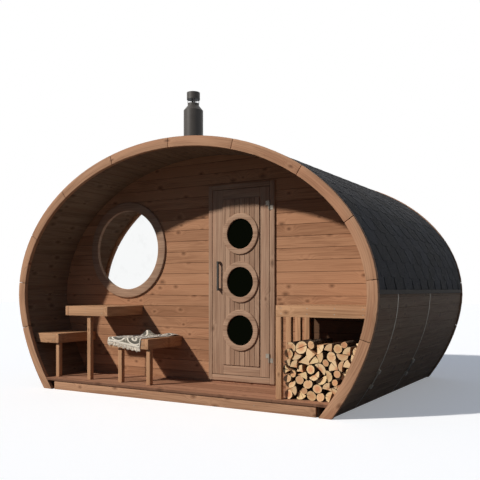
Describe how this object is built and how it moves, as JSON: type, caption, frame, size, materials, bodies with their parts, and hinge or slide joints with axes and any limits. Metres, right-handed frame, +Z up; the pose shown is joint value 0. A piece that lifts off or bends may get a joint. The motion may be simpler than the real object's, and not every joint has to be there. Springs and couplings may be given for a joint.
{
  "type": "outdoor barrel sauna",
  "caption": "Oval wooden outdoor sauna with an open porch, a porthole door, a round window, a table and benches, a firewood store and a chimney.",
  "frame": {"origin": "on the ground at the middle of the shell's plan", "axes": "+X to the viewer's right across the shell, +Y from the porch end to the rear, +Z up"},
  "size_m": [4, 2.9, 3.167],
  "materials": {
    "wall_wood": "planed thermally treated softwood, satin",
    "stave_wood": "planed thermally treated softwood, weathered",
    "ring_wood": "planed softwood, oiled",
    "floor_wood": "planed boards, oiled",
    "door_wood": "planed joinery timber, oiled",
    "furniture_wood": "planed softwood, oiled",
    "firewood": "split logs with bark",
    "porthole_glass": "dark clear glass",
    "window_glass": "mirror-coated clear glass",
    "black_metal": "satin black",
    "bright_steel": "brushed",
    "shingle": "mineral surfaced bitumen, matte",
    "throw_cloth": "woven cotton, matte"
  },
  "bodies": {
    "cabin": {"front_wall_left": "wall_wood", "front_wall_over_door": "wall_wood", "front_wall_right": "wall_wood", "door_sill": "wall_wood", "rear_wall": "wall_wood", "left_wall_staves": "stave_wood", "left_roof_staves": "stave_wood", "right_roof_staves": "stave_wood", "right_wall_staves": "stave_wood", "front_ring": "ring_wood", "rear_ring": "ring_wood", "porch_floor": "floor_wood", "room_floor": "floor_wood", "end_fascias": "floor_wood", "floor_joists": "floor_wood", "door_frame": "door_wood", "round_window_trim": "door_wood", "table_top": "furniture_wood", "table_frame": "furniture_wood", "left_bench_top": "furniture_wood", "left_bench_frame": "furniture_wood", "right_bench_top": "furniture_wood", "right_bench_frame": "furniture_wood", "store_cover": "furniture_wood", "store_lintel": "furniture_wood", "store_posts": "furniture_wood", "firewood": "firewood", "round_window_glass": "window_glass", "chimney": "black_metal", "roof_edge_strips": "black_metal", "frame_hinges": "bright_steel", "straps": "bright_steel", "strap_tensioners": "bright_steel", "left_shingles": "shingle", "right_shingles": "shingle", "bench_throw": "throw_cloth"},
    "door_leaf": {"door_leaf_frame": "door_wood", "door_panel": "door_wood", "porthole_rings": "door_wood", "porthole_glass": "porthole_glass", "door_handle": "black_metal", "handle_mounts": "bright_steel", "leaf_hinges": "bright_steel"}
  },
  "joints": [
    {"name": "door_hinge", "type": "hinge", "parent": "cabin", "child": "door_leaf", "pos_m": [0.7265, -0.848, 1.1], "axis": [0, 0, 1], "range_deg": [0, 110]}
  ]
}
